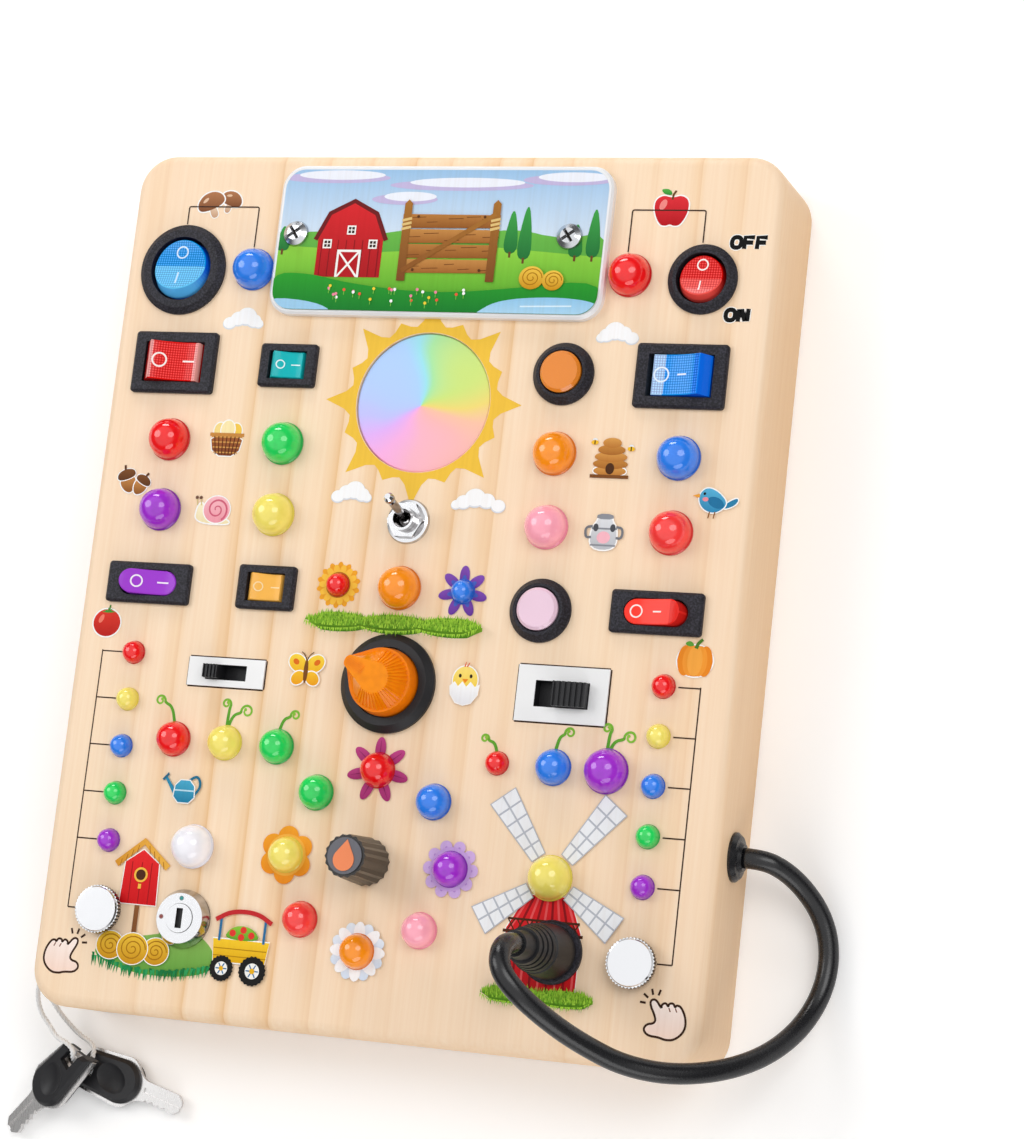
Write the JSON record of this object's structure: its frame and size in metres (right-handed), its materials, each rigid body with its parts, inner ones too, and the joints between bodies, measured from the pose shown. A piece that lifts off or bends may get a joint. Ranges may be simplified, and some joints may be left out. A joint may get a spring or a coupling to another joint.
{
  "type": "wooden busy board",
  "caption": "Toddler's wooden activity board with rocker, push, toggle, key, selector and slide switches, coloured lights, a plug on a cable and a pair of keys.",
  "frame": {"origin": "centre of the board's back face, which is the bottom centre of the box round the part without its cords", "axes": "+X to the right seen from the front, +Y towards the board's top edge, +Z out of the front face; the board lies on its back"},
  "size_m": [0.2877, 0.3412, 0.0905],
  "materials": {
    "pine": "clear satin, soft light grain",
    "back_board": "thin painted board",
    "cover_print": "printed picture plate",
    "screw_steel": "zinc plated",
    "tray_plastic": "moulded",
    "cell_jacket": "printed sleeve",
    "contact_metal": "nickel plated",
    "clear_red": "clear tinted",
    "clear_coral": "clear tinted",
    "clear_orange": "clear tinted",
    "clear_yellow": "clear tinted",
    "clear_green": "clear tinted",
    "clear_blue": "clear tinted",
    "clear_purple": "clear tinted",
    "clear_pink": "clear tinted",
    "clear_white": "milky",
    "board_green": "circuit board",
    "chip_white": "light package",
    "sun_opal": "opal printed",
    "black_plastic": "moulded",
    "matt_black": "moulded",
    "rocker_red": "translucent",
    "rocker_blue": "translucent",
    "rocker_teal": "translucent",
    "rocker_purple": "translucent",
    "rocker_amber": "translucent",
    "button_orange": "moulded",
    "button_pink": "moulded",
    "chrome": "polished",
    "knob_orange": "moulded",
    "knob_grey": "moulded",
    "plate_white": "moulded",
    "cable_black": "smooth",
    "cord_white": "braided",
    "key_steel": "nickel plated"
  },
  "bodies": {
    "board": {"back_panel": "back_board", "battery_cells": "cell_jacket", "battery_contacts": "contact_metal", "battery_cover": "cover_print", "battery_tray": "tray_plastic", "button_frames": "black_plastic", "cable_grommet": "cable_black", "cover_screws": "screw_steel", "dimmer_body": "contact_metal", "key_blade_left": "key_steel", "key_blade_right": "key_steel", "key_cover_left": "matt_black", "key_cover_right": "matt_black", "key_switch_body": "chrome", "lanyard": "cord_white", "light_boards": "board_green", "light_caps_blue": "clear_blue", "light_caps_coral": "clear_coral", "light_caps_green": "clear_green", "light_caps_orange": "clear_orange", "light_caps_pink": "clear_pink", "light_caps_purple": "clear_purple", "light_caps_red": "clear_red", "light_caps_white": "clear_white", "light_caps_yellow": "clear_yellow", "light_chips": "chip_white", "plug_cable": "cable_black", "plug_socket": "black_plastic", "push_button_bases": "chrome", "rocker_frames_mini": "black_plastic", "rocker_frames_round": "black_plastic", "rocker_frames_slim": "black_plastic", "rocker_frames_wide": "black_plastic", "selector_frame": "matt_black", "slide_frames": "plate_white", "sun_diffuser": "sun_opal", "toggle_body": "chrome", "toggle_nut": "chrome", "wood_body": "pine"},
    "blue_round_rocker": {"rocker_blue_round": "rocker_blue"},
    "red_round_rocker": {"rocker_red_round": "rocker_red"},
    "red_wide_rocker": {"rocker_red_wide": "rocker_red"},
    "teal_mini_rocker": {"rocker_teal_mini": "rocker_teal"},
    "blue_wide_rocker": {"rocker_blue_wide": "rocker_blue"},
    "purple_slim_rocker": {"rocker_purple_slim": "rocker_purple"},
    "amber_mini_rocker": {"rocker_amber_mini": "rocker_amber"},
    "red_slim_rocker": {"rocker_red_slim": "rocker_red"},
    "orange_cap": {"button_orange": "button_orange"},
    "pink_cap": {"button_pink": "button_pink"},
    "left_push_cap": {"push_button_left": "chrome"},
    "right_push_cap": {"push_button_right": "chrome"},
    "key_drum": {"key_barrel": "chrome"},
    "toggle": {"toggle_lever": "chrome"},
    "selector": {"selector_knob": "knob_orange"},
    "dimmer": {"dimmer_knob": "knob_grey", "dimmer_pointer": "knob_orange"},
    "left_slider": {"slider_left": "matt_black"},
    "right_slider": {"slider_right": "matt_black"},
    "plug_head": {"plug": "matt_black"}
  },
  "joints": [
    {"name": "blue_round_tilt", "type": "hinge", "parent": "board", "child": "blue_round_rocker", "pos_m": [-0.095, 0.1065, 0.037], "axis": [1, 0, 0], "range_deg": [0, 24]},
    {"name": "red_round_tilt", "type": "hinge", "parent": "board", "child": "red_round_rocker", "pos_m": [0.093, 0.106, 0.037], "axis": [1, 0, 0], "range_deg": [0, 24]},
    {"name": "red_wide_tilt", "type": "hinge", "parent": "board", "child": "red_wide_rocker", "pos_m": [-0.0933, 0.0733, 0.037], "axis": [0, 1, 0], "range_deg": [-24, 0]},
    {"name": "teal_mini_tilt", "type": "hinge", "parent": "board", "child": "teal_mini_rocker", "pos_m": [-0.0504, 0.0733, 0.037], "axis": [0, 1, 0], "range_deg": [-24, 0]},
    {"name": "blue_wide_tilt", "type": "hinge", "parent": "board", "child": "blue_wide_rocker", "pos_m": [0.0892, 0.0733, 0.037], "axis": [0, 1, 0], "range_deg": [0, 24]},
    {"name": "purple_slim_tilt", "type": "hinge", "parent": "board", "child": "purple_slim_rocker", "pos_m": [-0.0918, -0.004, 0.037], "axis": [0, 1, 0], "range_deg": [-24, 0]},
    {"name": "amber_mini_tilt", "type": "hinge", "parent": "board", "child": "amber_mini_rocker", "pos_m": [-0.048, -0.0034, 0.037], "axis": [0, 1, 0], "range_deg": [-24, 0]},
    {"name": "red_slim_tilt", "type": "hinge", "parent": "board", "child": "red_slim_rocker", "pos_m": [0.0895, -0.0046, 0.037], "axis": [0, 1, 0], "range_deg": [0, 24]},
    {"name": "orange_press", "type": "slide", "parent": "board", "child": "orange_cap", "axis": [0, 0, 1], "range_m": [-0.0025, 0], "stiffness_N_per_m": 300, "springref_m": 0.001},
    {"name": "pink_press", "type": "slide", "parent": "board", "child": "pink_cap", "axis": [0, 0, 1], "range_m": [-0.0025, 0], "stiffness_N_per_m": 300, "springref_m": 0.001},
    {"name": "left_push_press", "type": "slide", "parent": "board", "child": "left_push_cap", "axis": [0, 0, 1], "range_m": [-0.0012, 0], "stiffness_N_per_m": 600, "springref_m": 0.0008},
    {"name": "right_push_press", "type": "slide", "parent": "board", "child": "right_push_cap", "axis": [0, 0, 1], "range_m": [-0.0012, 0], "stiffness_N_per_m": 600, "springref_m": 0.0008},
    {"name": "key_turn", "type": "hinge", "parent": "board", "child": "key_drum", "pos_m": [-0.063, -0.1158, 0.037], "axis": [0, 0, 1], "range_deg": [0, 90]},
    {"name": "toggle_throw", "type": "hinge", "parent": "board", "child": "toggle", "pos_m": [0, 0.0215, 0.0385], "axis": [1, 0, 0], "range_deg": [0, 26]},
    {"name": "selector_turn", "type": "hinge", "parent": "board", "child": "selector", "pos_m": [0, -0.033, 0.037], "axis": [0, 0, 1], "range_deg": [-120, 0]},
    {"name": "dimmer_turn", "type": "hinge", "parent": "board", "child": "dimmer", "pos_m": [0, -0.0917, 0.037], "axis": [0, 0, 1], "range_deg": [-144, 156]},
    {"name": "left_slide", "type": "slide", "parent": "board", "child": "left_slider", "axis": [1, 0, 0], "range_m": [0, 0.0092]},
    {"name": "right_slide", "type": "slide", "parent": "board", "child": "right_slider", "axis": [1, 0, 0], "range_m": [-0.0067, 0]},
    {"name": "plug_pull", "type": "slide", "parent": "board", "child": "plug_head", "axis": [0, 0, 1], "range_m": [0, 0.014], "deforming": ["plug_cable"]}
  ]
}
